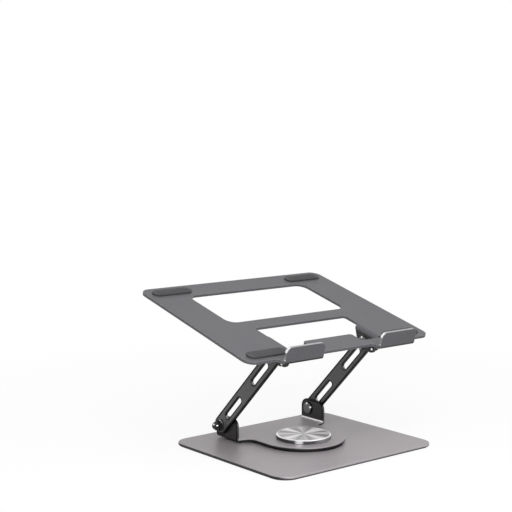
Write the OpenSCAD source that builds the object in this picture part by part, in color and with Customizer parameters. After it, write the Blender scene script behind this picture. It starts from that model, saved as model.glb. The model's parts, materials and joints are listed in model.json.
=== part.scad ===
// Swivelling laptop stand, folded from thick sheet: a base plate, a bracket that turns on
// it, two slotted arms and a hooked tray. The origin is the centre of the base's underside,
// +Z is up, the user sits at -Y and the tray rises towards +Y.

/* [Base] */
// Width of the base plate
base_w = 190; // [170:1:220]
// Depth of the base plate
base_d = 163; // [150:1:180]
// Corner radius of the base plate
base_corner = 16; // [8:1:24]
// Thickness of the base plate
base_t = 2.2; // [2:0.1:3]
// Thickness of the non-slip pad under the base
base_pad_t = 0.8; // [0.6:0.1:1.5]
// Bright chamfer round the top of the base plate
base_chamfer = 0.4; // [0.2:0.1:0.8]

/* [Swivel bracket] */
// Radius of the round front of the bracket
disc_r = 41; // [38:1:46]
// Centre of that round, behind the swivel axis
disc_back = 3; // [0:0.5:5]
// Sheet thickness of the bracket
bracket_t = 2.2; // [1.8:0.1:2.5]
// Thickness of the glide ring that the bracket turns on
glide_t = 1.8; // [1.5:0.1:2.5]
// Inner face of each bracket ear, from the middle
ear_x = 53; // [50:0.5:60]
// Front edge of the ears
ear_front = 31.5; // [26:0.5:36]
// Top of the ears above the base's underside
ear_top = 27; // [25:0.5:30]
// Rear edge of the bracket's flat
bracket_rear = 65; // [63:0.5:70]

/* [Cap] */
// Radius of the turned cap over the swivel
cap_r = 26; // [24:0.5:30]
// Height of the cap above the bracket
cap_h = 4; // [3.8:0.1:6]

/* [Arms] */
// Distance between an arm's two hinge axes
arm_len = 111; // [105:1:120]
// Width of an arm
arm_w = 17; // [16:0.5:17.5]
// Sheet thickness of an arm
arm_t = 2.5; // [2:0.1:3]
// Lean of the arms from the base at rest
arm_lean = 45; // [20:1:75]
// Length of each slot in an arm
slot_len = 31.2; // [20:0.1:33]
// Width of each slot in an arm
slot_w = 5.8; // [4:0.1:8]

/* [Tray] */
// Width of the tray
tray_w = 223; // [190:1:240]
// Depth of the tray plate
tray_d = 172; // [160:1:190]
// Sheet thickness of the tray
tray_t = 2.5; // [2:0.1:2.8]
// Corner radius of the tray
tray_corner = 10; // [6:1:16]
// Tilt of the tray at rest
tray_tilt = 15; // [0:1:30]
// Width of each front hook
hook_w = 44.5; // [35:0.5:55]
// Middle of each hook, from the middle of the tray
hook_x = 57.25; // [50:0.25:62]
// Height of a hook's lip above the tray's underside
lip_h = 16.7; // [12:0.1:20]
// How far a lip's front face stands before the tray's front edge
lip_reach = 9.75; // [8:0.25:14]

/* [Hinges] */
// Radius of the hinge bolts
bolt_r = 2.5; // [2:0.1:2.6]
// Radius of the low bolt heads
head_r = 5.8; // [5.5:0.1:7]
// Thickness of the friction washers
friction_t = 0.45; // [0.4:0.05:0.6]

/* [Hidden] */
$fn = 96;

run = 0.05;                              // running clearance of a pin, a shaft or a face
base_top = base_pad_t + base_t;
bracket_z = base_top + glide_t;          // underside of the bracket
bracket_top = bracket_z + bracket_t;
bend_r = 1;                              // inner radius of every sheet bend
inside = 0.99;                           // how near its circle's radius a straight side starts

// Swivel, from the middle outwards
hub_r = 7;                               // journal that the bracket turns on
hub_flange_r = 15;
hub_flange_t = 0.5;
swivel_bolt_r = 3;
swivel_head_r = 7.5;
swivel_head_t = 1.3;
swivel_spring_t = 0.5;
thrust_r = 15;
thrust_t = 0.5;
upper_glide_t = 0.5;
glide_r = disc_r - disc_back - 3;
glide_hole_r = 6;
glide_holes = 8;
hub_top = bracket_top + upper_glide_t + run;

// Cap: a shell over the swivel bolt, held down by a ring of tape
tape_t = 0.3;
cap_wall = 8;                            // width of the rim that the tape holds
cap_roof = 1;
cap_chamfer = 0.7;
cap_top = bracket_top + cap_h;

// Lower hinge, in the bracket's ears
lower_y = 53.4;
lower_z = 17.9;
ear_r = 8;                               // round at the ear's top corners
ear_rear = lower_y + 10;
fillet_r = ear_x - bend_r - disc_r;      // inside corner between disc and ears
ear_out = ear_x + bracket_t;

// Arms, outside the ears
arm_in = ear_out + run + friction_t;
arm_out = arm_in + arm_t;
arm_r = arm_w/2;
slot_start = 12.4;                       // from a hinge axis to the near end of a slot
tab_reach = 9.3;                         // from a hinge axis to the friction washer's tab
tab_r = 1.2;
tab_depth = 1.5;                         // blind hole for the tab in an arm's inner face

// Upper hinge, under the tray
upper_y = lower_y - arm_len*cos(arm_lean);
upper_z = lower_z + arm_len*sin(arm_lean);
hinge_drop = 10.1;                       // hinge axis below the tray's underside
hinge_back = 28.9;                       // hinge axis behind the tray's front edge
lug_in = ear_out - tray_t;               // inner face of the tray's lugs
lug_r = 8;
lug_root = 14;                           // rear end of the lug's bend
stop_y = -11.1;                          // stop pin, from the upper hinge axis
stop_z = -1.4;
stop_r = 1.6;
stop_head_r = 3.5;
stop_head_t = 1.5;
nose_r = 4.8;                            // nose of the lug, round the stop pin

// Hinge hardware, outside the arms
washer_r = 6;
washer_t = 1;
spring_t = 0.7;
spring_rise = 0.5;
nut_across = 8;
nut_hex_t = 3.4;
nut_collar_t = 1.4;
bolt_proud = 1.2;
head_t = 1.8;
washer_x = arm_out + run;
spring_x = washer_x + washer_t;
nut_x = spring_x + spring_rise + spring_t;
bolt_end = nut_x + nut_hex_t + nut_collar_t + bolt_proud;

// Tray: windows, pads and hooks, measured from the upper hinge axis
front_edge = -hinge_back;
rear_edge = front_edge + tray_d;
tray_top = hinge_drop + tray_t;
window_x = ear_out + bend_r;             // half width of the window, at the lugs' bend lines
window_front = stop_y - nose_r - 3.4;
window_rear = 34;
window_corner = 3;
tongue_x = 30;                           // half width of the front strip's tongue
tongue_rear = -4;
vent_x = 72;                             // half width of the rear window
vent_front = 50;
vent_rear = 118;
vent_corner = 10;
pad_t = 1.6;
pad_w = 44;
pad_d = 12;
front_pad_y = front_edge + 12;
rear_pad_y = rear_edge - 13;
pad_x = 82;
lip_front = front_edge - lip_reach;
lip_corner = 5.5;
hook_fillet = 3;
lip_pad_w = 36;
lip_pad_h = 7;
lip_pad_t = 1.2;

// ---- Shapes that repeat ----

// Rectangle w by d with round corners, about the origin
module rounded(w, d, r) {
    square([w, d - 2*r], center = true);
    square([w - 2*r, d], center = true);
    for (x = [-1, 1], y = [-1, 1]) translate([x*(w/2 - r), y*(d/2 - r)]) circle(r);
}

// Slot of length len and width w, along +X from the origin
module slot(len, w) {
    translate([w/2, -w/2]) square([len - w, w]);
    for (x = [w/2, len - w/2]) translate([x, 0]) circle(w/2);
}

// Two circles joined by straight sides, a hair inside their outer tangents
module link(p, rp, q, rq) {
    along = q - p;
    a = atan2(along[1], along[0]);
    b = acos((rp - rq)/norm(along));
    ip = inside*rp;
    iq = inside*rq;
    translate(p) circle(rp);
    translate(q) circle(rq);
    polygon([p + ip*[cos(a + b), sin(a + b)], q + iq*[cos(a + b), sin(a + b)],
        q + iq*[cos(a - b), sin(a - b)], p + ip*[cos(a - b), sin(a - b)]]);
}

// Quarter ring of sheet t thick, from +X round to +Y
module bend(t) {
    intersection() {
        difference() {
            circle(bend_r + t);
            circle(bend_r);
        }
        square(bend_r + t);
    }
}

// Plate with round corners and a chamfer c round its top
module chamfered_plate(w, d, r, t, c) {
    module profile(size) {
        polygon([[-size/2, 0], [size/2, 0], [size/2, t - c], [size/2 - c, t],
            [c - size/2, t], [-size/2, t - c]]);
    }
    rotate([90, 0, 0]) linear_extrude(d - 2*r, center = true) profile(w);
    rotate([90, 0, 90]) linear_extrude(w - 2*r, center = true) profile(d);
    for (x = [-1, 1], y = [-1, 1]) translate([x*(w/2 - r), y*(d/2 - r), 0]) {
        cylinder(h = t - c, r = r);
        translate([0, 0, t - c]) cylinder(h = c, r1 = r, r2 = r - c);
    }
}

// Side view drawn in Y and Z, made t thick from x
module side_view(x, t) {
    translate([x, 0, 0]) rotate([90, 0, 90]) linear_extrude(t) children();
}

// Round part drawn along Z, turned to start at x and run outwards
module along_x(x) {
    translate([x, 0, 0]) rotate([0, 90, 0]) children();
}

// The right-hand shape and its mirror image
module pair() {
    children();
    mirror([1, 0, 0]) children();
}

// Frames: the lower hinge axis, the upper hinge axis, and the tilted tray on that axis
module at_lower() { translate([0, lower_y, lower_z]) children(); }
module at_upper() { translate([0, upper_y, upper_z]) children(); }
module on_tray() { at_upper() rotate([tray_tilt, 0, 0]) children(); }

// Pressed-in bolt from x_in, the face that its low plain head sits on, out through the nut
module hinge_bolt(x_in) {
    edge = 0.7;
    along_x(x_in - head_t + edge) cylinder(h = head_t - edge, r = head_r);
    along_x(x_in - head_t) cylinder(h = edge, r1 = head_r - edge, r2 = head_r);
    along_x(x_in) cylinder(h = bolt_end - x_in, r = bolt_r);
}

// Flat washer between arm and spring
module hinge_washer() {
    along_x(washer_x) difference() {
        cylinder(h = washer_t, r = washer_r);
        cylinder(h = washer_t, r = bolt_r + run);
    }
}

// Coned spring washer
module cone_spring(inner, outer, rise, t) {
    rotate_extrude() polygon([[inner, rise], [outer, 0], [outer, t], [inner, rise + t]]);
}

// Locking nut: a hexagon and a round collar
module hinge_nut() {
    along_x(nut_x) difference() {
        union() {
            cylinder(h = nut_hex_t, r = nut_across/2/cos(30), $fn = 6);
            translate([0, 0, nut_hex_t]) cylinder(h = nut_collar_t, r1 = 3.8, r2 = 3.3);
        }
        cylinder(h = nut_hex_t + nut_collar_t, r = bolt_r + 0.01);
    }
}

// Friction washer in its arm's own direction, with a tab pinned into the arm
module friction_washer() {
    side_view(arm_in - friction_t, friction_t) difference() {
        link([0, 0], washer_r, [tab_reach, 0], 2);
        circle(bolt_r + run);
    }
    translate([0, tab_reach, 0]) along_x(arm_in) cylinder(h = tab_depth - 0.1, r = tab_r - 0.01);
}

// ---- Base ----

module base_plate() {
    color("#8f8a8c") difference() {
        translate([0, 0, base_pad_t])
            chamfered_plate(base_w, base_d, base_corner, base_t, base_chamfer);
        cylinder(h = base_top + 1, r = hub_r);
    }
}

// Full pad, with a pocket over the bush's flange
module base_pad() {
    color("#1c1c1e") difference() {
        linear_extrude(base_pad_t) rounded(base_w - 2, base_d - 2, base_corner - 1);
        translate([0, 0, base_pad_t - hub_flange_t]) cylinder(h = 1, r = hub_flange_r + 0.5);
    }
}

// Flanged bush pressed up through the base plate; the bracket turns on it
module swivel_hub() {
    color("#b8babd") difference() {
        union() {
            translate([0, 0, base_pad_t - hub_flange_t]) cylinder(h = hub_flange_t, r = hub_flange_r);
            translate([0, 0, base_pad_t]) cylinder(h = hub_top - base_pad_t, r = hub_r);
        }
        cylinder(h = hub_top + 1, r = swivel_bolt_r + 0.01);
    }
}

module swivel_bolt() {
    head_z = hub_top + thrust_t + swivel_spring_t;
    color("#55565a") difference() {
        union() {
            translate([0, 0, base_pad_t]) cylinder(h = head_z - base_pad_t, r = swivel_bolt_r);
            translate([0, 0, head_z]) cylinder(h = swivel_head_t, r = swivel_head_r);
        }
        translate([0, 0, head_z + 0.3]) cylinder(h = swivel_head_t, r = 2.9, $fn = 6);
    }
}

module swivel_spring() {
    color("#9b9da1") translate([0, 0, hub_top + thrust_t])
        cone_spring(swivel_bolt_r + 0.3, 7.3, 0.1, swivel_spring_t - 0.1);
}

module thrust_washer() {
    color("#b8babd") translate([0, 0, hub_top]) difference() {
        cylinder(h = thrust_t, r = thrust_r);
        cylinder(h = thrust_t, r = swivel_bolt_r + 0.3);
    }
}

// ---- Swivel ----

module glide_ring() {
    color("#18181a") translate([0, 0, base_top + run]) linear_extrude(glide_t - run)
        difference() {
            circle(glide_r);
            circle(hub_r + 2);
            for (i = [0 : glide_holes - 1]) rotate(i*360/glide_holes)
                translate([(glide_r + hub_r + 2)/2, 0]) circle(glide_hole_r);
        }
}

// Flat of the bracket: a disc that widens to the ears' bend lines
module bracket_outline() {
    flat_x = ear_x - bend_r;
    rear_r = bracket_rear - ear_rear;
    rear_x = flat_x - 2;
    translate([0, disc_back]) circle(disc_r);
    translate([-disc_r, disc_back]) square([2*disc_r, ear_front - disc_back]);
    translate([-flat_x, ear_front]) square([2*flat_x, ear_rear - ear_front]);
    translate([rear_r - rear_x, ear_front]) square([2*(rear_x - rear_r), bracket_rear - ear_front]);
    for (x = [-1, 1]) translate([x*(rear_x - rear_r), ear_rear]) circle(rear_r);
    for (x = [0, 1]) mirror([x, 0]) difference() {
        translate([disc_r - 1, ear_front - fillet_r]) square([flat_x - disc_r + 1, fillet_r + 1]);
        translate([flat_x, ear_front - fillet_r]) circle(fillet_r);
    }
}

// Ear with two round top corners
module ear_outline() {
    foot = bracket_top + bend_r;
    long = ear_rear - ear_front;
    difference() {
        union() {
            translate([ear_front, foot]) square([long, ear_top - ear_r - foot]);
            translate([ear_front + ear_r, foot]) square([long - 2*ear_r, ear_top - foot]);
            for (y = [ear_front + ear_r, ear_rear - ear_r])
                translate([y, ear_top - ear_r]) circle(ear_r);
        }
        translate([lower_y, lower_z]) circle(bolt_r + 0.02);
    }
}

module swivel_bracket() {
    color("#8f8a8c") {
        difference() {
            translate([0, 0, bracket_z]) linear_extrude(bracket_t) bracket_outline();
            cylinder(h = bracket_top + 1, r = hub_r + run);
        }
        pair() {
            side_view(ear_x, bracket_t) ear_outline();
            translate([ear_x - bend_r, ear_front, bracket_top + bend_r])
                rotate([-90, 0, 0]) linear_extrude(ear_rear - ear_front) bend(bracket_t);
        }
    }
}

module upper_glide() {
    color("#e6e4df") translate([0, 0, bracket_top]) difference() {
        cylinder(h = upper_glide_t, r = thrust_r);
        cylinder(h = upper_glide_t, r = hub_r + 0.3);
    }
}

module cap_tape() {
    color("#2a2a2c") translate([0, 0, bracket_top]) difference() {
        cylinder(h = tape_t, r = cap_r - 1);
        cylinder(h = tape_t, r = cap_r - cap_wall);
    }
}

module swivel_cap() {
    inner = cap_r - cap_wall;
    color("#d9dadc") rotate_extrude() polygon([[0, cap_top - cap_roof], [inner, cap_top - cap_roof],
        [inner, bracket_top + tape_t], [cap_r, bracket_top + tape_t],
        [cap_r, cap_top - cap_chamfer], [cap_r - cap_chamfer, cap_top], [0, cap_top]]);
}

module lower_bolts() { color("#4b4b4e") pair() at_lower() hinge_bolt(ear_x); }
module lower_washers() { color("#2b2b2d") pair() at_lower() hinge_washer(); }
module lower_springs() {
    color("#2b2b2d") pair() at_lower() along_x(spring_x)
        cone_spring(bolt_r + 0.1, washer_r - 0.5, spring_rise, spring_t);
}
module lower_nuts() { color("#2b2b2d") pair() at_lower() hinge_nut(); }

// ---- Arms ----

// One arm, drawn along +X from the lower hinge axis
module arm_outline() {
    difference() {
        union() {
            translate([0, -arm_r]) square([arm_len, arm_w]);
            for (x = [0, arm_len]) translate([x, 0]) circle(arm_r);
        }
        for (x = [0, arm_len]) translate([x, 0]) circle(bolt_r + run);
        for (x = [slot_start, arm_len - slot_start - slot_len]) translate([x, 0])
            slot(slot_len, slot_w);
    }
}

// The same arm in its place, with a blind hole for each friction washer's tab
module arm() {
    at_lower() rotate([180 - arm_lean, 0, 0]) difference() {
        side_view(arm_in, arm_t) arm_outline();
        for (y = [tab_reach, arm_len - tab_reach])
            translate([0, y, 0]) along_x(arm_in - 1) cylinder(h = tab_depth + 1, r = tab_r);
    }
}

module arm_right() { color("#5a5a5c") arm(); }
module arm_left() { color("#5a5a5c") mirror([1, 0, 0]) arm(); }

module lower_friction_washers() {
    color("#85868a") pair() at_lower() rotate([180 - arm_lean, 0, 0]) friction_washer();
}

module upper_friction_washers() {
    color("#85868a") pair() at_upper() rotate([-arm_lean, 0, 0]) friction_washer();
}

// ---- Upper hinge ----

module upper_bolts() { color("#4b4b4e") pair() at_upper() hinge_bolt(lug_in); }
module upper_washers() { color("#2b2b2d") pair() at_upper() hinge_washer(); }
module upper_springs() {
    color("#2b2b2d") pair() at_upper() along_x(spring_x)
        cone_spring(bolt_r + 0.1, washer_r - 0.5, spring_rise, spring_t);
}
module upper_nuts() { color("#2b2b2d") pair() at_upper() hinge_nut(); }

// ---- Tray ----

// Flat of the tray with the tabs that carry the hooks
module tray_outline() {
    mid = (front_edge + rear_edge)/2;
    tab = lip_reach - tray_t - bend_r;
    translate([0, mid]) rounded(tray_w, tray_d, tray_corner);
    for (x = [-1, 1]) translate([x*hook_x, front_edge]) {
        translate([-hook_w/2, -tab]) square([hook_w, tab + 1]);
        for (s = [-1, 1]) difference() {
            translate([s*(hook_w + hook_fillet)/2, 0.5 - hook_fillet/2])
                square([hook_fillet, hook_fillet + 1], center = true);
            translate([s*(hook_w/2 + hook_fillet), -hook_fillet]) circle(hook_fillet);
        }
    }
}

// Front window, whose sides leave room for the lugs to be bent down out of it
module window_outline() {
    difference() {
        translate([0, (window_front + window_rear)/2])
            rounded(2*window_x, window_rear - window_front, window_corner);
        translate([0, front_edge]) rounded(2*tongue_x, 2*(tongue_rear - front_edge), window_corner);
    }
}

// Lug that hangs from the side of the front window, with a nose for the stop pin
// and a slope behind the hinge
module lug_outline() {
    root = hinge_drop - bend_r;
    slope = atan2(root, lug_root) - acos(lug_r/norm([lug_root, root]));
    difference() {
        union() {
            link([0, 0], lug_r, [stop_y, stop_z], nose_r);
            translate([stop_y - nose_r, stop_z]) square([nose_r - stop_y, root - stop_z]);
            polygon([[0, 0], inside*lug_r*[cos(slope), sin(slope)], [lug_root, root], [0, root]]);
        }
        circle(bolt_r + run);
        translate([stop_y, stop_z]) circle(stop_r + 0.01);
    }
}

// Upturned lip of a hook, in X and Z, with round top corners
module lip_outline() {
    foot = hinge_drop + tray_t + bend_r;
    top = hinge_drop + lip_h;
    translate([-hook_w/2, foot]) square([hook_w, top - lip_corner - foot]);
    translate([lip_corner - hook_w/2, foot]) square([hook_w - 2*lip_corner, top - foot]);
    for (s = [-1, 1]) translate([s*(hook_w/2 - lip_corner), top - lip_corner]) circle(lip_corner);
}

module hook() {
    translate([0, lip_front + tray_t, 0]) rotate([90, 0, 0]) linear_extrude(tray_t) lip_outline();
    side_view(-hook_w/2, hook_w)
        translate([lip_front + tray_t + bend_r, tray_top + bend_r]) rotate(180) bend(tray_t);
}

module tray_plate() {
    color("#6a6a6d") on_tray() {
        translate([0, 0, hinge_drop]) linear_extrude(tray_t) difference() {
            tray_outline();
            window_outline();
            translate([0, (vent_front + vent_rear)/2])
                rounded(2*vent_x, vent_rear - vent_front, vent_corner);
        }
        pair() {
            side_view(lug_in, tray_t) lug_outline();
            translate([window_x, lug_root, hinge_drop - bend_r])
                rotate([90, 0, 0]) linear_extrude(lug_root + nose_r - stop_y) rotate(90) bend(tray_t);
        }
        for (x = [-hook_x, hook_x]) translate([x, 0, 0]) hook();
    }
}

module tray_pad(x, y) {
    translate([x - pad_w/2, y, tray_top]) linear_extrude(pad_t) slot(pad_w, pad_d);
}

module front_pads() { color("#2f2f32") on_tray() for (x = [-pad_x, pad_x]) tray_pad(x, front_pad_y); }
module rear_pads() { color("#2f2f32") on_tray() for (x = [-pad_x, pad_x]) tray_pad(x, rear_pad_y); }

module hook_pads() {
    color("#2f2f32") on_tray() for (x = [-hook_x, hook_x])
        translate([x, lip_front + tray_t + lip_pad_t, tray_top + 5.5])
            rotate([90, 0, 0]) linear_extrude(lip_pad_t) rounded(lip_pad_w, lip_pad_h, 2);
}

module stop_pins() {
    color("#202022") pair() on_tray() translate([0, stop_y, stop_z]) {
        along_x(lug_in - stop_head_t) cylinder(h = stop_head_t, r = stop_head_r);
        along_x(lug_in) cylinder(h = arm_out + 0.3 - lug_in, r = stop_r);
        along_x(arm_out + 0.3) cylinder(h = stop_head_t, r = stop_head_r);
    }
}

base_plate();
base_pad();
swivel_hub();
swivel_bolt();
swivel_spring();
thrust_washer();
glide_ring();
swivel_bracket();
upper_glide();
cap_tape();
swivel_cap();
lower_bolts();
lower_washers();
lower_springs();
lower_nuts();
arm_left();
arm_right();
lower_friction_washers();
upper_friction_washers();
upper_bolts();
upper_washers();
upper_springs();
upper_nuts();
tray_plate();
front_pads();
rear_pads();
hook_pads();
stop_pins();
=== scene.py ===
"""Looks of a folding laptop stand: satin coated sheet, a turned cap and black hardware.

Everything is in metres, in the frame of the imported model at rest. The pieces that show get their
cut edges eased and a finish each, and the pads' grooves and the bolts' threads are cut here.
"""
import json
from math import cos, pi, radians, sin

import bmesh
import bpy
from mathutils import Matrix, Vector


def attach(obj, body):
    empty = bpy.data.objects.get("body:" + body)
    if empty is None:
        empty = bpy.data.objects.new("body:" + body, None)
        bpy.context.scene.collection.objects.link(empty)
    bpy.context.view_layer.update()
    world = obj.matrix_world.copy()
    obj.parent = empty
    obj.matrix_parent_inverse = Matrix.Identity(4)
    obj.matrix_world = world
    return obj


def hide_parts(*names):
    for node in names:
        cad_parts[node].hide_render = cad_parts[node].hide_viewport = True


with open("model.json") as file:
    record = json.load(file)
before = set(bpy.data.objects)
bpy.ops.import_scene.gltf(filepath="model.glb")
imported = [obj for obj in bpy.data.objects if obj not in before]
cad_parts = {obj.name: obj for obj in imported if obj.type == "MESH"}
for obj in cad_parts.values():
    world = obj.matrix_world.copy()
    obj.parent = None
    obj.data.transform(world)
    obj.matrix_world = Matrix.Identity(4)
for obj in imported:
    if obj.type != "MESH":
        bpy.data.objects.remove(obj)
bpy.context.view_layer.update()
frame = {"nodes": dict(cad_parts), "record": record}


# ---- Places and directions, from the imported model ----

MM = 0.001
RECORD = frame["record"]
SLOT_OF = {row["node"]: row["material_slot"] for row in RECORD["subparts"]}
BODY_OF = {name: body for body, names in RECORD["behaviour"]["bodies"].items() for name in names}
PIVOTS = {joint["name"]: Vector(joint["pos_m"]) for joint in RECORD["behaviour"]["joints"]}
LOWER_HINGE = PIVOTS["arm_fold"]
UPPER_HINGE = PIVOTS["tray_level"]

SIDEWAYS = Vector((1, 0, 0))
BACKWARDS = Vector((0, 1, 0))
UPWARDS = Vector((0, 0, 1))

TRAY_SLOPE = radians(15)                   # at rest
TRAY_BACK = Vector((0, cos(TRAY_SLOPE), sin(TRAY_SLOPE)))
TRAY_UP = Vector((0, -sin(TRAY_SLOPE), cos(TRAY_SLOPE)))

ARM_LENGTH = (UPPER_HINGE - LOWER_HINGE).length
ARM_ALONG = (UPPER_HINGE - LOWER_HINGE).normalized()
ARM_ACROSS = Vector((0, ARM_ALONG.z, -ARM_ALONG.y))


# ---- Node helpers ----

def plug(tree, value, into):
    """Links a socket into an input, or sets the input to a plain value."""
    if isinstance(value, bpy.types.NodeSocket):
        tree.links.new(value, into)
    else:
        into.default_value = value


def node(tree, kind, **settings):
    """A node of one kind; a setting is one of its properties, or else the value of an input."""
    made = tree.nodes.new(kind)
    for key, value in settings.items():
        if hasattr(made, key):
            setattr(made, key, value)
        else:
            made.inputs[key.replace("_", " ").title()].default_value = value
    return made


def maths(tree, operation, first, second, clamp=False):
    """One sum of two sockets or numbers."""
    made = node(tree, "ShaderNodeMath", operation=operation, use_clamp=clamp)
    plug(tree, first, made.inputs[0])
    plug(tree, second, made.inputs[1])
    return made.outputs[0]


def curve_of(tree, operation, value):
    """One function of a single socket, such as its sine or its size without a sign."""
    made = node(tree, "ShaderNodeMath", operation=operation)
    plug(tree, value, made.inputs[0])
    return made.outputs[0]


def vectors(tree, operation, first, second):
    """One sum of two vectors, each a socket or a plain vector; a dot product is a number."""
    made = node(tree, "ShaderNodeVectorMath", operation=operation)
    plug(tree, first, made.inputs[0])
    plug(tree, second, made.inputs[1])
    return made.outputs["Value" if operation == "DOT_PRODUCT" else "Vector"]


def length_of(tree, vector):
    made = node(tree, "ShaderNodeVectorMath", operation="LENGTH")
    plug(tree, vector, made.inputs[0])
    return made.outputs["Value"]


def parts_of(tree, vector):
    """The X, Y and Z sockets of a vector."""
    made = node(tree, "ShaderNodeSeparateXYZ")
    plug(tree, vector, made.inputs[0])
    return made.outputs


def blend_colour(tree, factor, first, second):
    """Colour that goes from first to second as factor goes from 0 to 1."""
    made = node(tree, "ShaderNodeMix", data_type="RGBA")
    for name, value in (("Factor", factor), ("A", first), ("B", second)):
        plug(tree, value, [socket for socket in made.inputs if socket.name == name and socket.enabled][0])
    return [socket for socket in made.outputs if socket.enabled][0]


def ranged(tree, value, low, high, to_low=0.0, to_high=1.0):
    """value carried from low..high to to_low..to_high, and held at either end."""
    made = node(tree, "ShaderNodeMapRange", from_min=low, from_max=high, to_min=to_low, to_max=to_high)
    plug(tree, value, made.inputs["Value"])
    return made.outputs["Result"]


# ---- Masks: sockets that are 1 in one place and 0 elsewhere ----

CRISP = 0.1 * MM                           # the width of a crisp change from 0 to 1


def surface_point(tree):
    return node(tree, "ShaderNodeTexCoord").outputs["Object"]


def both(tree, first, second):
    return maths(tree, "MULTIPLY", first, second)


def either(tree, first, second):
    return maths(tree, "MAXIMUM", first, second)


def outside(tree, mask):
    return maths(tree, "SUBTRACT", 1.0, mask)


def above(tree, origin, up, height, run):
    """Past a plane that stands at height along up from origin; the change takes run."""
    offset = vectors(tree, "SUBTRACT", surface_point(tree), origin)
    return ranged(tree, vectors(tree, "DOT_PRODUCT", offset, up), height, height + run)


def higher(tree, height, run):
    """Above a height over the table."""
    return above(tree, Vector(), UPWARDS, height, run)


def outboard(tree, distance, run):
    """Further than distance from the middle, on either side."""
    sideways = curve_of(tree, "ABSOLUTE", parts_of(tree, surface_point(tree))["X"])
    return ranged(tree, sideways, distance, distance + run)


def facing(tree, way, low, high):
    """Where the surface looks along way: 0 at low and 1 at high, as the cosine of its turn from way."""
    normal = node(tree, "ShaderNodeTexCoord").outputs["Normal"]
    return ranged(tree, vectors(tree, "DOT_PRODUCT", normal, way), low, high)


def facing_either(tree, way, low, high):
    """Where the surface looks along way or straight back, by the same cosine."""
    normal = node(tree, "ShaderNodeTexCoord").outputs["Normal"]
    return ranged(tree, curve_of(tree, "ABSOLUTE", vectors(tree, "DOT_PRODUCT", normal, way)), low, high)


def distance_round(tree, centre, axis):
    """Distance from a line through centre along axis, which is SIDEWAYS or UPWARDS."""
    offset = vectors(tree, "SUBTRACT", surface_point(tree), centre)
    return length_of(tree, vectors(tree, "MULTIPLY", offset, Vector((1, 1, 1)) - axis))


def collar(tree, pin, low, high):
    """The ring from low to high round a hinge pin."""
    distance = distance_round(tree, pin, SIDEWAYS)
    return both(tree, ranged(tree, distance, low, low + CRISP),
                ranged(tree, distance, (low + high) / 2, high, 1.0, 0.0))


def spot(tree, pin, dy, dz, radius):
    """A small round place beside a hinge pin."""
    distance = distance_round(tree, pin + Vector((0, dy, dz)), SIDEWAYS)
    return ranged(tree, distance, (radius - CRISP) / 2, radius, 1.0, 0.0)


def within(tree, radius, run):
    """Inside a circle round the swivel's axis."""
    return ranged(tree, distance_round(tree, Vector(), UPWARDS), radius, radius + run, 1.0, 0.0)


def side_face_shade(tree):
    """The cut faces towards either side, which the coats darken as painted shade."""
    return facing_either(tree, SIDEWAYS, 0.45, 0.85)


# ---- Effects that several finishes share ----

def new_group(name, inputs, outputs):
    """An empty shader group with named sockets; inputs are (name, kind, default)."""
    tree = bpy.data.node_groups.new(name, "ShaderNodeTree")
    for label, kind, default in inputs:
        socket = tree.interface.new_socket(label, in_out="INPUT", socket_type="NodeSocket" + kind)
        socket.default_value = default
    for label, kind in outputs:
        tree.interface.new_socket(label, in_out="OUTPUT", socket_type="NodeSocket" + kind)
    return tree, tree.nodes.new("NodeGroupInput").outputs, tree.nodes.new("NodeGroupOutput").inputs


def place(tree, group, **values):
    """The group as a node of tree, with its own values."""
    made = tree.nodes.new("ShaderNodeGroup")
    made.node_tree = group
    for key, value in values.items():
        made.inputs[key.replace("_", " ")].default_value = value
    return made


def make_fine_blast():
    """The tiny, even pits of a blasted and coated sheet, and its slow drift in tone.

    Grain size is in millimetres.
    """
    tree, given, result = new_group(
        "fine blast",
        [("Colour", "Color", (0.3, 0.3, 0.3, 1)), ("Grain size", "Float", 0.35), ("Grain", "Float", 0.1),
         ("Drift", "Float", 0.05), ("Roughness", "Float", 0.45)],
        [("Colour", "Color"), ("Roughness", "Float"), ("Height", "Float")])
    pits = node(tree, "ShaderNodeTexNoise", detail=2.0, roughness=0.6)
    plug(tree, surface_point(tree), pits.inputs["Vector"])
    plug(tree, maths(tree, "DIVIDE", 1.0 / MM, given["Grain size"]), pits.inputs["Scale"])
    clouds = node(tree, "ShaderNodeTexNoise", scale=18.0, detail=3.0)
    plug(tree, surface_point(tree), clouds.inputs["Vector"])
    grain = maths(tree, "MULTIPLY", maths(tree, "SUBTRACT", pits.outputs["Fac"], 0.5), given["Grain"])
    drift = maths(tree, "MULTIPLY", maths(tree, "SUBTRACT", clouds.outputs["Fac"], 0.5), given["Drift"])
    tone = maths(tree, "ADD", maths(tree, "ADD", grain, drift), 1.0)
    plug(tree, vectors(tree, "MULTIPLY", given["Colour"], tone), result["Colour"])
    gloss_drift = maths(tree, "MULTIPLY", drift, 0.8)
    plug(tree, maths(tree, "ADD", given["Roughness"], gloss_drift), result["Roughness"])
    plug(tree, pits.outputs["Fac"], result["Height"])
    return tree


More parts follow.
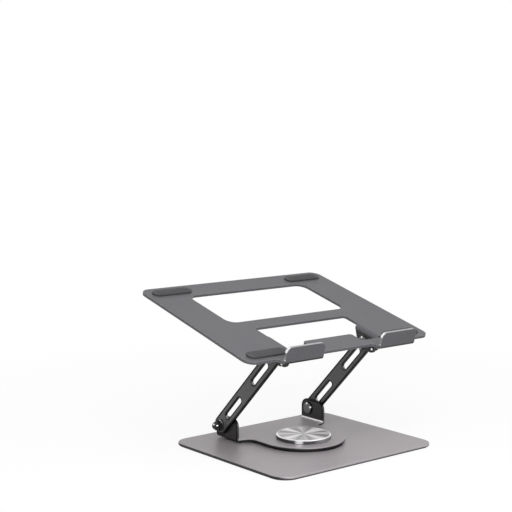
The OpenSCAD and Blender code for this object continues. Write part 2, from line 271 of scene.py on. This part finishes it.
def make_edge_light():
    """A mask of the outside edges, broken up a little; the coats paint a highlight or a dark outline of
    shade along it, and the black zinc wears bare along it.
    """
    tree, given, result = new_group(
        "edge light",
        [("Width", "Float", 0.5 * MM), ("Reach", "Float", 0.35), ("Breaks", "Float", 0.4)],
        [("Mask", "Float")])
    rounded = node(tree, "ShaderNodeBevel", samples=6)
    plug(tree, given["Width"], rounded.inputs["Radius"])
    plain = node(tree, "ShaderNodeNewGeometry").outputs["Normal"]
    turn = maths(tree, "SUBTRACT", 1.0, vectors(tree, "DOT_PRODUCT", rounded.outputs["Normal"], plain))
    edge = maths(tree, "DIVIDE", turn, given["Reach"], clamp=True)
    chips = node(tree, "ShaderNodeTexNoise", scale=900.0, detail=2.0)
    plug(tree, surface_point(tree), chips.inputs["Vector"])
    breaks = maths(tree, "MULTIPLY", chips.outputs["Fac"], given["Breaks"])
    plug(tree, both(tree, edge, outside(tree, breaks)), result["Mask"])
    return tree


def make_handling():
    """Faint smudges and dust that change the gloss where hands and desks touch.

    Size is in millimetres.
    """
    tree, given, result = new_group(
        "handling", [("Size", "Float", 30.0), ("Amount", "Float", 0.06)], [("Value", "Float")])
    smudge = node(tree, "ShaderNodeTexNoise", detail=4.0, roughness=0.65, distortion=0.4)
    plug(tree, surface_point(tree), smudge.inputs["Vector"])
    plug(tree, maths(tree, "DIVIDE", 1.0 / MM, given["Size"]), smudge.inputs["Scale"])
    change = maths(tree, "SUBTRACT", smudge.outputs["Fac"], 0.5)
    plug(tree, maths(tree, "MULTIPLY", change, given["Amount"]), result["Value"])
    return tree


def make_panel():
    """Signed distance from the outline of a rounded panel, less than nothing inside it.

    The panel lies across X. Along runs up it from Origin, and Across runs over it.
    """
    tree, given, result = new_group(
        "panel outline",
        [("Origin", "Vector", (0, 0, 0)), ("Along", "Vector", (0, 1, 0)), ("Across", "Vector", (0, 0, 1)),
         ("Middle", "Float", 0.0), ("Half length", "Float", 0.01), ("Half width", "Float", 0.01),
         ("Corner", "Float", 0.001)],
        [("Distance", "Float")])
    offset = vectors(tree, "SUBTRACT", surface_point(tree), given["Origin"])
    along = maths(tree, "SUBTRACT", vectors(tree, "DOT_PRODUCT", offset, given["Along"]), given["Middle"])
    across = vectors(tree, "DOT_PRODUCT", offset, given["Across"])
    past = []
    for distance, half in ((along, "Half length"), (across, "Half width")):
        straight = maths(tree, "SUBTRACT", given[half], given["Corner"])
        past.append(maths(tree, "SUBTRACT", curve_of(tree, "ABSOLUTE", distance), straight))
    squares = []
    for one in past:
        over = maths(tree, "MAXIMUM", one, 0.0)
        squares.append(maths(tree, "MULTIPLY", over, over))
    beyond = curve_of(tree, "SQRT", maths(tree, "ADD", squares[0], squares[1]))
    inside = maths(tree, "MINIMUM", maths(tree, "MAXIMUM", past[0], past[1]), 0.0)
    distance = maths(tree, "SUBTRACT", maths(tree, "ADD", beyond, inside), given["Corner"])
    plug(tree, distance, result["Distance"])
    return tree


FINE_BLAST = make_fine_blast()
PANEL = make_panel()
EDGE_LIGHT = make_edge_light()
HANDLING = make_handling()


# ---- Finishes ----

BASE_TONE = (0.330, 0.308, 0.321, 1)
# Shiny metal, both for worn bare edges and for painted highlights and glints
BARE_OR_HIGHLIGHT = (0.86, 0.86, 0.87, 1)
# For painted shade
NEAR_BLACK = (0.01, 0.01, 0.01, 1)
BORDER = (-1.9 * MM, -1.4 * MM)            # a dark border of painted shade sets in between these distances from an outline
COAT_METAL = 0.25
BARE_METAL = 0.95


def new_finish(name, **sockets):
    """A material with one Principled BSDF, its constant values set on the shader itself."""
    material = bpy.data.materials.new(name)
    material.use_nodes = True
    shader = material.node_tree.nodes["Principled BSDF"].inputs
    for key, value in sockets.items():
        shader[key.replace("_", " ").title().replace("Ior", "IOR")].default_value = value
    return material, material.node_tree, shader


def bump(tree, shader, height, distance):
    made = node(tree, "ShaderNodeBump", strength=1.0, distance=distance)
    plug(tree, height, made.inputs["Height"])
    plug(tree, made.outputs["Normal"], shader["Normal"])


def layered(tree, colour, tones):
    """colour with each (mask, tone) laid over it; a mask is a function that builds its nodes in tree."""
    for mask, tone in tones:
        colour = blend_colour(tree, mask(tree), colour, tone)
    return colour


def satin_coat(name, colour, edge_colour, roughness=0.42, edge_width=0.45 * MM, edge_reach=0.3,
               tones=(), edge_tones=(), bright=None, bare=None):
    """Satin metallic coat over blasted sheet, with a tone of its own along the cut edges, which paints a
    highlight or shade there.

    tones lie over the coat and edge_tones over the edges' tone. bright is a mask of painted highlights
    and glints, shown as shiny metal, and bare is a mask of places that keep their tone but shine as metal
    does, which keeps painted dark borders dark.
    """
    material, tree, shader = new_finish(name, specular_ior_level=0.25)
    blast = place(tree, FINE_BLAST, Grain_size=0.35, Grain=0.16, Drift=0.07, Roughness=roughness)
    plug(tree, layered(tree, colour, tones), blast.inputs["Colour"])
    edge = place(tree, EDGE_LIGHT, Width=edge_width, Reach=edge_reach, Breaks=0.35)
    edges = layered(tree, edge_colour, edge_tones)
    coat = blend_colour(tree, edge.outputs["Mask"], blast.outputs["Colour"], edges)
    marks = place(tree, HANDLING, Size=40.0, Amount=0.10)
    gloss = maths(tree, "ADD", blast.outputs["Roughness"], marks.outputs["Value"])
    metal = bare(tree) if bare else None
    # Painted highlights and glints, shown as shiny metal
    if bright:
        highlight_spots = bright(tree)
        coat = blend_colour(tree, highlight_spots, coat, BARE_OR_HIGHLIGHT)
        gloss = maths(tree, "ADD", gloss, maths(tree, "MULTIPLY", highlight_spots, -0.2))
        metal = either(tree, metal, highlight_spots) if metal else highlight_spots
    metallic = ranged(tree, metal, 0.0, 1.0, COAT_METAL, BARE_METAL) if metal else COAT_METAL
    plug(tree, metallic, shader["Metallic"])
    plug(tree, coat, shader["Base Color"])
    plug(tree, gloss, shader["Roughness"])
    bump(tree, shader, blast.outputs["Height"], 0.02 * MM)
    return material


def base_coat():
    """The base plate's coat, with painted shade: nearly black on its sides, along its foot and under the
    turning disc; its pale edge colour is a painted highlight.
    """
    # Painted shade under the turning disc
    def shade_under_disc(tree):
        return within(tree, 37.2 * MM, 0.6 * MM)

    # Painted shade along the plate's foot
    def foot(tree):
        return outside(tree, higher(tree, 1.2 * MM, 0.5 * MM))

    dark = ((side_face_shade, (0.03, 0.029, 0.03, 1)), (foot, (0.02, 0.02, 0.02, 1)))
    # The pale edge colour is a painted highlight
    return satin_coat("base coat", BASE_TONE, (0.60, 0.59, 0.60, 1), edge_width=0.7 * MM,
                      tones=(*dark, (shade_under_disc, NEAR_BLACK)), edge_tones=dark)


def bracket_coat():
    """The base's coat on the disc, with painted light and shade: the ears, the disc's lower edge and cut
    sides and a ring round the bolt head are darkened as painted shade, with dark borders on the ears; the
    ears' front and back cut edges are painted paler, and painted highlights run inside the bend at the
    ears' foot and along the disc's edges.
    """
    ear_middle = LOWER_HINGE + Vector((0, -5.95 * MM, -9.4 * MM))

    # Painted shade on the disc's lower edge, by the gap below it
    def underside(tree):
        return outside(tree, higher(tree, 6.1 * MM, 0.2 * MM))

    # A painted highlight inside the bend at the ears' foot
    def bend_highlight(tree):
        return both(tree, outside(tree, outboard(tree, 53.1 * MM, 0.2 * MM)),
                    higher(tree, 7.05 * MM, 0.15 * MM))

    # The ears are darkened as painted shade
    def ears(tree):
        return either(tree, higher(tree, 8.2 * MM, 0.4 * MM), outboard(tree, 53.6 * MM, 0.8 * MM))

    def ear_edges(tree):
        return both(tree, ears(tree), facing_either(tree, BACKWARDS, 0.8, 0.95))

    # A dark border of painted shade round the ears, made metallic so that it stays dark
    def ear_border(tree):
        outline = place(tree, PANEL, Origin=ear_middle, Along=UPWARDS, Across=BACKWARDS,
                        Half_length=18.5 * MM, Half_width=15.95 * MM, Corner=8 * MM)
        return both(tree, ranged(tree, outline.outputs["Distance"], *BORDER), ears(tree))

    # A ring of painted shadow round the bolt head
    def bolt_head_shadow(tree):
        return collar(tree, LOWER_HINGE, 5.8 * MM, 7.2 * MM)

    # The ears' front and back cut edges are painted paler, as painted light
    lit_ear_edges = (ear_edges, (0.10, 0.10, 0.10, 1))
    # The pale edge colour is a painted highlight; the edge tones are painted shade and painted light
    return satin_coat(
        "bracket coat", BASE_TONE, (0.62, 0.60, 0.61, 1), edge_width=0.6 * MM, edge_reach=0.15,
        tones=((side_face_shade, (0.06, 0.058, 0.06, 1)), (underside, NEAR_BLACK),
               (bend_highlight, (0.92, 0.91, 0.92, 1)), (ears, (0.031, 0.029, 0.030, 1)),
               (ear_border, (0.008, 0.008, 0.008, 1)), lit_ear_edges, (bolt_head_shadow, (0.004, 0.004, 0.004, 1))),
        edge_tones=((underside, NEAR_BLACK), (ears, (0.008, 0.008, 0.008, 1)), lit_ear_edges),
        bare=ear_border)


def arm_coat():
    """Dark coat with painted shade: nearly black along the outline, the slots and the cut faces, and
    darker on the inner faces than the outer ones; the cut ends that face up the arm are painted paler, as
    painted light.
    """
    arm_end = 8.5 * MM                     # half the arm's width, and the radius of its round ends
    slot_middle = 28.0 * MM
    slot_half_length = 15.6 * MM
    slot_end = 2.9 * MM

    def round_ended(tree, middle, half_length, end_radius):
        made = place(tree, PANEL, Origin=LOWER_HINGE, Along=ARM_ALONG, Across=ARM_ACROSS, Middle=middle,
                     Half_length=half_length, Half_width=end_radius, Corner=end_radius)
        return made.outputs["Distance"]

    # A dark border of painted shade along the outline and round the slots
    def border(tree):
        edge = round_ended(tree, ARM_LENGTH / 2, ARM_LENGTH / 2 + arm_end, arm_end)
        mask = ranged(tree, edge, *BORDER)
        for middle in (slot_middle, ARM_LENGTH - slot_middle):
            slot = round_ended(tree, middle, slot_half_length, slot_end)
            mask = either(tree, mask, ranged(tree, slot, 1.1 * MM, 1.6 * MM, 1.0, 0.0))
        return mask

    def face(tree):
        return both(tree, facing_either(tree, SIDEWAYS, 0.5, 0.9), outside(tree, border(tree)))

    # The outer faces are painted lighter than the inner ones, as painted light
    def lit_outer_face(tree):
        return both(tree, face(tree), outboard(tree, 56.8 * MM, 0.2 * MM))

    def upward_ends(tree):
        return facing(tree, ARM_ALONG, 0.6, 0.9)

    # Cut faces are painted nearly black, as painted shade; the ends that face up the arm are painted
    # paler, as painted light
    cut_shade = (0.012, 0.012, 0.012, 1)
    lit_ends = (upward_ends, (0.30, 0.30, 0.30, 1))
    return satin_coat("arm coat", cut_shade, cut_shade, bare=border,
                      tones=((face, (0.088, 0.088, 0.089, 1)), (lit_outer_face, (0.114, 0.114, 0.115, 1)),
                             lit_ends),
                      edge_tones=(lit_ends,))


def tray_coat():
    """Grey coat; the lugs below the sheet are darkened as painted shade, the lips' cut edges are painted
    paler with painted highlights at the corners, shown as shiny metal, and painted shade lines the
    downward faces of the hooks' bends.
    """
    # Below the sheet the lugs keep the dark base tone, which is painted shade
    def sheet(tree):
        return above(tree, UPPER_HINGE, TRAY_UP, 7.6 * MM, 1.4 * MM)

    # The lips' cut edges are painted paler, as painted highlight
    def rim(tree):
        lip = above(tree, UPPER_HINGE, TRAY_UP, 14.0 * MM, 1.0 * MM)
        return both(tree, outside(tree, facing_either(tree, TRAY_BACK, 0.45, 0.75)), lip)

    # Painted highlights at the lips' corners
    def corners(tree):
        return both(tree, rim(tree), facing_either(tree, SIDEWAYS, 0.25, 0.5))

    # Painted shade on the downward faces of the hooks' bends
    def bend_shade(tree):
        bends = above(tree, UPPER_HINGE, -TRAY_BACK, 34.5 * MM, 0.5 * MM)
        return both(tree, bends, facing(tree, -TRAY_UP, 0.1, 0.3))

    # The dark base tone is painted shade on the lugs, and the pale edge colour a painted highlight
    return satin_coat("tray coat", (0.03, 0.03, 0.031, 1), (0.40, 0.40, 0.41, 1), bright=corners,
                      tones=((sheet, (0.101, 0.099, 0.108, 1)), (rim, (0.34, 0.34, 0.35, 1)),
                             (bend_shade, NEAR_BLACK)))


def bolt_finish(pin):
    """Dark satin steel; the black rim round the head is painted shade, the paler chamfer and edges are
    painted highlight, and bright spots at the head's top and front and on the tip are painted glints.
    """
    # Painted glints at the head's top and front and on the tip
    def painted_glints(tree):
        head_top = spot(tree, pin, 0.4 * MM, 4.6 * MM, 1.4 * MM)
        head_front = spot(tree, pin, -4.4 * MM, 1.3 * MM, 1.35 * MM)
        tip = both(tree, spot(tree, pin, -0.3 * MM, 2.1 * MM, 1.5 * MM),
                   outboard(tree, 62.0 * MM, 0.5 * MM))
        return either(tree, either(tree, head_top, head_front), tip)

    # The chamfer is painted a little paler, as painted highlight
    def chamfer(tree):
        return outside(tree, facing_either(tree, SIDEWAYS, 0.80, 0.90))

    # A black ring of painted shade round the head
    def head_rim(tree):
        return collar(tree, pin, 5.3 * MM, 8.0 * MM)

    def threads(tree):
        return outboard(tree, 56.0 * MM, 0.5 * MM)

    return satin_coat("bolt finish", (0.125, 0.125, 0.127, 1), (0.2, 0.2, 0.2, 1), roughness=0.3,
                      edge_width=0.3 * MM, bright=painted_glints,
                      tones=((chamfer, (0.16, 0.16, 0.16, 1)), (head_rim, NEAR_BLACK),
                             (threads, (0.015, 0.015, 0.016, 1))))


def turned_aluminium(rim_radius):
    """Face turned on a lathe: fine rings, with painted reflections: fans of light and shade from the
    middle out, a bright rim, a shaded side with a lit part and a glint.
    """
    material, tree, shader = new_finish("turned aluminium", anisotropic=0.8)
    ring_pitch = 0.5 * MM
    parts = parts_of(tree, surface_point(tree))
    bearing = maths(tree, "ARCTAN2", parts["Y"], parts["X"])
    radius = distance_round(tree, Vector(), UPWARDS)

    def towards(way, spread):
        """1 along one bearing in degrees, and 0 from a spread to either side of it."""
        lean = curve_of(tree, "COSINE", maths(tree, "SUBTRACT", bearing, radians(way)))
        return ranged(tree, lean, cos(radians(spread)), 1.0)

    # A painted highlight on the rim
    def rim(tree):
        return ranged(tree, radius, rim_radius - CRISP, rim_radius)

    # The side is darkened as painted shade
    def side(tree):
        return outside(tree, facing_either(tree, UPWARDS, 0.3, 0.4))

    # Part of the side is painted lighter, as painted light
    def lit_side(tree):
        return facing(tree, Vector((0.55, -0.83, 0)), 0.6, 0.9)

    # A painted glint on the side
    def glint(tree):
        return facing(tree, Vector((-0.777, -0.629, 0)), 0.984, 0.998)

    # Painted reflections: even folds all the way round, and then four fans of light or shade with places
    # of their own
    turn = maths(tree, "SUBTRACT", bearing, radians(8))
    fans = 0.0
    for folds, share in ((8, 0.42), (4, 0.36), (2, 0.12), (22, 0.10)):
        wave = curve_of(tree, "COSINE", maths(tree, "MULTIPLY", turn, float(folds)))
        fans = maths(tree, "ADD", maths(tree, "MULTIPLY", wave, share), fans)
    for way, spread, change in ((10, 24, 0.7), (-97, 16, 0.6), (-66, 12, -0.5), (77, 9, -0.45)):
        fans = maths(tree, "ADD", maths(tree, "MULTIPLY", towards(way, spread), change), fans)
    face = blend_colour(tree, ranged(tree, fans, -0.6, 0.95),
                        (0.285, 0.277, 0.28, 1), (0.98, 0.955, 0.965, 1))
    turned = layered(tree, face, ((rim, (0.94, 0.925, 0.93, 1)), (side, (0.10, 0.10, 0.105, 1)),
                                  (lit_side, (0.36, 0.36, 0.365, 1)), (glint, (0.95, 0.95, 0.96, 1))))
    # In the two brightest painted fans the metal is lowered, so that they show brighter
    fans_shown_brighter = either(tree, towards(10, 34), maths(tree, "MULTIPLY", towards(-97, 18), 0.7))
    plug(tree, turned, shader["Base Color"])
    plug(tree, ranged(tree, fans_shown_brighter, 0.0, 1.0, 0.9, 0.35), shader["Metallic"])
    plug(tree, ranged(tree, rim(tree), 0.0, 1.0, 0.42, 0.34), shader["Roughness"])
    tangent = node(tree, "ShaderNodeTangent", direction_type="RADIAL", axis="Z")
    plug(tree, tangent.outputs["Tangent"], shader["Tangent"])
    ring = curve_of(tree, "SINE", maths(tree, "MULTIPLY", radius, 2 * pi / ring_pitch))
    bump(tree, shader, ring, 0.006 * MM)
    return material


def black_zinc(name, painted_glints=None):
    """Black plated steel, worn to grey on its corners; the optional mask gives painted glints, shown as
    shiny bare metal.
    """
    material, tree, shader = new_finish(name, specular_ior_level=0.3)
    blast = place(tree, FINE_BLAST, Colour=(0.012, 0.012, 0.013, 1), Grain_size=0.5, Grain=0.4, Drift=0.3,
                  Roughness=0.2)
    edge = place(tree, EDGE_LIGHT, Width=0.5 * MM, Reach=0.3, Breaks=0.9)
    bare = maths(tree, "MULTIPLY", edge.outputs["Mask"], 0.5)
    if painted_glints:
        # Painted glints join the worn bare edges
        bare = either(tree, bare, painted_glints(tree))
    plug(tree, blend_colour(tree, bare, blast.outputs["Colour"], BARE_OR_HIGHLIGHT), shader["Base Color"])
    plug(tree, ranged(tree, bare, 0.0, 1.0, 0.2, 0.9), shader["Metallic"])
    plug(tree, blast.outputs["Roughness"], shader["Roughness"])
    bump(tree, shader, blast.outputs["Height"], 0.01 * MM)
    return material


def glints_on_nuts(tree):
    """Painted glints on the fronts of the lower nuts' collars."""
    front = spot(tree, LOWER_HINGE, -3.5 * MM, 1.0 * MM, 0.58 * MM)
    return both(tree, front, outboard(tree, 63.2 * MM, 0.3 * MM))


def glints_on_pins(tree):
    """A painted glint on the lower front of the stop pins' heads."""
    return spot(tree, UPPER_HINGE, -12.9 * MM, -5.2 * MM, 1.5 * MM)


def highlight_on_springs(tree):
    """A painted highlight along an arc of rim on the upper front of the lower spring washers."""
    return above(tree, LOWER_HINGE, Vector((0, -0.47, 0.883)), 4.75 * MM, 0.2 * MM)


def plain_steel():
    """Bare steel, drawn and washed."""
    material, tree, shader = new_finish("plain steel", metallic=1.0)
    blast = place(tree, FINE_BLAST, Colour=(0.50, 0.50, 0.52, 1), Grain_size=0.8, Grain=0.2, Drift=0.2,
                  Roughness=0.36)
    plug(tree, blast.outputs["Colour"], shader["Base Color"])
    plug(tree, blast.outputs["Roughness"], shader["Roughness"])
    bump(tree, shader, blast.outputs["Height"], 0.01 * MM)
    return material


def soft_rubber(name, colour, roughness=0.75, grain_size=0.6):
    """Matt rubber or silicone with a fine skin."""
    material, tree, shader = new_finish(name, specular_ior_level=0.35, sheen_weight=0.08,
                                        sheen_roughness=0.5)
    blast = place(tree, FINE_BLAST, Colour=colour, Grain_size=grain_size, Grain=0.5, Drift=0.25,
                  Roughness=roughness)
    marks = place(tree, HANDLING, Size=12.0, Amount=0.15)
    gloss = maths(tree, "ADD", blast.outputs["Roughness"], marks.outputs["Value"])
    plug(tree, blast.outputs["Colour"], shader["Base Color"])
    plug(tree, gloss, shader["Roughness"])
    bump(tree, shader, blast.outputs["Height"], 0.05 * MM)
    return material


def acetal(name, colour):
    """Turned acetal: smooth, waxy plastic."""
    material, tree, shader = new_finish(name, specular_ior_level=0.45)
    blast = place(tree, FINE_BLAST, Colour=colour, Grain_size=0.9, Grain=0.15, Drift=0.15,
                  Roughness=0.45)
    plug(tree, blast.outputs["Colour"], shader["Base Color"])
    plug(tree, blast.outputs["Roughness"], shader["Roughness"])
    bump(tree, shader, blast.outputs["Height"], 0.01 * MM)
    return material


RUBBER_BLACK = (0.012, 0.012, 0.013, 1)
FINISHES = {
    "base_coat": base_coat(),
    "arm_coat": arm_coat(),
    "tray_coat": tray_coat(),
    "turned_aluminium": turned_aluminium(24.8 * MM),
    "dark_hardware": black_zinc("black zinc"),
    "bare_steel": plain_steel(),
    "rubber": soft_rubber("black rubber", RUBBER_BLACK),
    "silicone": soft_rubber("grey silicone", (0.035, 0.035, 0.038, 1), roughness=0.62),
    "black_plastic": acetal("black acetal", RUBBER_BLACK),
    "white_plastic": acetal("natural acetal", (0.72, 0.71, 0.67, 1)),
    "tape": soft_rubber("foam tape", (0.02, 0.02, 0.022, 1), roughness=0.85, grain_size=1.0),
}
OWN_FINISHES = {
    "swivel_bracket": bracket_coat(),
    "lower_bolts": bolt_finish(LOWER_HINGE),
    "upper_bolts": bolt_finish(UPPER_HINGE),
    "lower_nuts": black_zinc("nut zinc", glints_on_nuts),
    "lower_springs": black_zinc("spring zinc", highlight_on_springs),
    "stop_pins": black_zinc("pin zinc", glints_on_pins),
}


# ---- Pieces ----

FLAT = radians(0.6)                        # faces that turn by less than this become one face
SHARP = radians(25)                        # edges that turn by more than this are rounded over
CREASE = radians(30)                       # edges that turn by more than this stay crisp in the light
GROOVE_PITCH = 2.4 * MM
GROOVE_WIDTH = GROOVE_PITCH / 2
GROOVE_WALL = 0.3 * MM
GROOVE_DEPTH = 0.35 * MM
GROOVE_MARGIN = 6 * MM                     # of a pad's length, left plain
THREAD_START = 65.3 * MM
THREAD_PITCH = 0.4 * MM
THREAD_CUTS = 5                            # every other cut is drawn in to the root
THREAD_ROOT = 0.86                         # of the bolt's radius


def place_of(corner):
    return tuple(corner.co)


def put_in_order(work):
    """Sorts the parts of a cut mesh by where they lie, so that every run gives the same mesh."""
    def corners_of(part):
        return sorted(corner.index for corner in part.verts)

    for parts, where in ((work.verts, place_of), (work.edges, corners_of), (work.faces, corners_of)):
        rank = {part: number for number, part in enumerate(sorted(parts, key=where))}
        parts.sort(key=rank.get)
        parts.index_update()


def eased(name, width, shape=None):
    """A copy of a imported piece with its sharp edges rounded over, shown in its place.

    shape is a function that cuts further detail into the rounded mesh.
    """
    source = frame["nodes"][name]
    mesh = source.data.copy()
    piece = bpy.data.objects.new(name + "_eased", mesh)
    bpy.context.scene.collection.objects.link(piece)
    work = bmesh.new()
    work.from_mesh(mesh)
    bmesh.ops.remove_doubles(work, verts=work.verts, dist=0.001 * MM)
    bmesh.ops.dissolve_limit(work, angle_limit=FLAT, verts=work.verts, edges=work.edges)
    sharp = [edge for edge in work.edges
             if len(edge.link_faces) == 2 and edge.calc_face_angle() > SHARP]
    bmesh.ops.bevel(work, geom=sharp, offset=width, segments=2, profile=0.5, affect="EDGES",
                    clamp_overlap=True)
    if shape:
        shape(work)
        put_in_order(work)
    work.to_mesh(mesh)
    work.free()
    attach(piece, BODY_OF[name])
    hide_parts(name)
    return piece


def smooth(piece):
    """Smooth shading that keeps the flat faces flat and the creases crisp."""
    for face in piece.data.polygons:
        face.use_smooth = True
    piece.data.set_sharp_from_angle(angle=CREASE)
    even = piece.modifiers.new("even shading", "WEIGHTED_NORMAL")
    even.keep_sharp = True


def cut_across(work, faces, at):
    """Cuts faces along the plane where x is at, and gives the corners on the cut."""
    parts = set(faces)
    for face in faces:
        parts.update(face.edges)
        parts.update(face.verts)
    cut = bmesh.ops.bisect_plane(work, geom=list(parts), plane_co=(at, 0, 0), plane_no=(1, 0, 0))
    corners = [part for part in cut["geom_cut"] if isinstance(part, bmesh.types.BMVert)]
    return sorted(corners, key=place_of)


def grooved(way):
    """A shaping step that sinks moulded grooves across the face of each pad that looks along way."""
    def broad(work):
        work.normal_update()
        return [face for face in work.faces if face.normal.dot(way) > 0.98]

    def shape(work):
        grooves = []
        for face in broad(work):
            ends = [corner.co.x for corner in face.verts]
            count = int((max(ends) - min(ends) - GROOVE_MARGIN) / GROOVE_PITCH)
            first = (min(ends) + max(ends) - (count - 1) * GROOVE_PITCH) / 2
            grooves += [first + number * GROOVE_PITCH for number in range(count)]
        for middle in grooves:
            for side in (-GROOVE_WIDTH / 2, GROOVE_WIDTH / 2):
                cut_across(work, broad(work), middle + side)
        strips = [face for face in broad(work)
                  if any(abs(face.calc_center_median().x - middle) < 0.1 * MM for middle in grooves)]
        bmesh.ops.inset_individual(work, faces=strips, thickness=GROOVE_WALL, depth=-GROOVE_DEPTH)

    return shape


def threaded(work):
    """A shaping step that cuts thread rings into the bolts' free ends."""
    for side in (-1, 1):
        for ring in range(THREAD_CUTS):
            corners = cut_across(work, work.faces[:], side * (THREAD_START + ring * THREAD_PITCH / 2))
            if ring % 2 and corners:
                middle = sum((corner.co for corner in corners), Vector()) / len(corners)
                for corner in corners:
                    corner.co = middle + (corner.co - middle) * THREAD_ROOT


# How far each piece's sharp edges are rounded, in millimetres
EASED = {
    "base_plate": 0.12, "swivel_bracket": 0.15, "arm_left": 0.15, "arm_right": 0.15, "tray_plate": 0.3,
    "swivel_cap": 0.12, "lower_bolts": 0.3, "upper_bolts": 0.3, "stop_pins": 0.35,
    "lower_nuts": 0.2, "upper_nuts": 0.2, "lower_washers": 0.15, "upper_washers": 0.15,
    "front_pads": 0.5, "rear_pads": 0.5, "hook_pads": 0.4,
}
SHAPES = {
    "front_pads": grooved(TRAY_UP), "rear_pads": grooved(TRAY_UP), "hook_pads": grooved(TRAY_BACK),
    "lower_bolts": threaded, "upper_bolts": threaded,
}

for name, source in frame["nodes"].items():
    piece = eased(name, EASED[name] * MM, SHAPES.get(name)) if name in EASED else source
    piece.data.materials.clear()
    piece.data.materials.append(OWN_FINISHES.get(name) or FINISHES[SLOT_OF[name]])
    if name in EASED:
        smooth(piece)


# ---- Studio ----

FLOOR_LEVEL = -0.3 * MM
FLOOR_RADIUS = 6.0
WORLD_LEVEL = 0.32
WHITE = (1, 1, 1, 1)
LAMPS = (
    # name, where it stands, what it shines on, size, watts
    ("key", (-0.37, -0.64, 0.53), (-0.05, -0.08, 0.03), (1.2, 0.9), 10.6),
    ("top", (-0.1, -0.4, 1.2), (0, -0.05, 0.05), (1.2, 1.2), 4.5),
    ("side", (1.4, -0.8, 0.7), (0, 0, 0.06), (0.8, 1.2), 0.4),
    ("glint", (-0.9, -0.5, 1.0), (0, 0, 0.06), (0.14, 0.14), 1.5),
)


def mixed_shaders(tree, share, first, second):
    mix = tree.nodes.new("ShaderNodeMixShader")
    for value, into in zip((share, first, second), mix.inputs):
        plug(tree, value, into)
    return mix.outputs[0]


def shown_to(tree, *rays):
    """1 for these kinds of ray, and 0 for the rays that light the stand."""
    path = node(tree, "ShaderNodeLightPath").outputs
    shown = path[rays[0]]
    for ray in rays[1:]:
        shown = maths(tree, "ADD", shown, path[ray], clamp=True)
    return shown


def studio_floor():
    """Pale floor that keeps the stand's shadow and runs out to plain white; it is clear from below."""
    bpy.ops.mesh.primitive_circle_add(vertices=96, radius=FLOOR_RADIUS, fill_type="NGON",
                                      location=(0, 0, FLOOR_LEVEL))
    floor = bpy.context.object
    floor.name = "studio_floor"
    material = bpy.data.materials.new("studio floor")
    material.use_nodes = True
    tree = material.node_tree
    tree.nodes.clear()
    out = tree.nodes.new("ShaderNodeOutputMaterial")
    seen = shown_to(tree, "Is Camera Ray", "Is Glossy Ray", "Is Transmission Ray")
    lit = tree.nodes.new("ShaderNodeBsdfDiffuse")
    # The floor is darker to the rays that light the stand than to the ones that show the floor
    plug(tree, ranged(tree, seen, 0.0, 1.0, 0.45, 0.88), lit.inputs["Color"])
    glow = tree.nodes.new("ShaderNodeEmission")
    glow.inputs["Color"].default_value = WHITE
    # Close to the stand the floor glows a little less, so that the shadow shows
    glow_share = ranged(tree, length_of(tree, surface_point(tree)), 0.12, 0.60, 0.88, 1.0)
    top = mixed_shaders(tree, both(tree, glow_share, seen), lit.outputs[0], glow.outputs[0])
    clear = tree.nodes.new("ShaderNodeBsdfTransparent")
    below = node(tree, "ShaderNodeNewGeometry").outputs["Backfacing"]
    plug(tree, mixed_shaders(tree, below, top, clear.outputs[0]), out.inputs["Surface"])
    floor.data.materials.append(material)


def studio_world():
    """Light from all round, strongest from above; where it is seen it is plain white."""
    world = bpy.data.worlds.new("studio")
    bpy.context.scene.world = world
    world.use_nodes = True
    tree = world.node_tree
    back = tree.nodes["Background"].inputs
    back["Color"].default_value = WHITE
    upward = parts_of(tree, node(tree, "ShaderNodeTexCoord").outputs["Generated"])["Z"]
    light = maths(tree, "MULTIPLY", ranged(tree, upward, 0.0, 0.9, 0.45, 1.0), WORLD_LEVEL)
    seen = shown_to(tree, "Is Glossy Ray", "Is Transmission Ray", "Is Camera Ray")
    to_white = both(tree, maths(tree, "SUBTRACT", 1.0, light), seen)
    plug(tree, maths(tree, "ADD", light, to_white), back["Strength"])


def soft_lamp(name, stands_at, shines_on, size, watts):
    lamp = bpy.data.lights.new(name, "AREA")
    lamp.shape = "RECTANGLE"
    lamp.size, lamp.size_y = size
    lamp.energy = watts
    holder = bpy.data.objects.new(name, lamp)
    bpy.context.scene.collection.objects.link(holder)
    holder.location = stands_at
    way = Vector(shines_on) - Vector(stands_at)
    holder.rotation_euler = way.to_track_quat("-Z", "Y").to_euler()


def studio_camera():
    camera = bpy.data.cameras.new("camera")
    camera.sensor_width = 36.0
    camera.lens = 86.3
    holder = bpy.data.objects.new("camera", camera)
    bpy.context.scene.collection.objects.link(holder)
    holder.location = (-0.7513, -0.8524, 0.307)
    holder.rotation_euler = (radians(90 - 6.39), 0, radians(-39.12))
    bpy.context.scene.camera = holder


bpy.context.scene.view_settings.view_transform = "Standard"
studio_floor()
studio_world()
for lamp in LAMPS:
    soft_lamp(*lamp)
studio_camera()
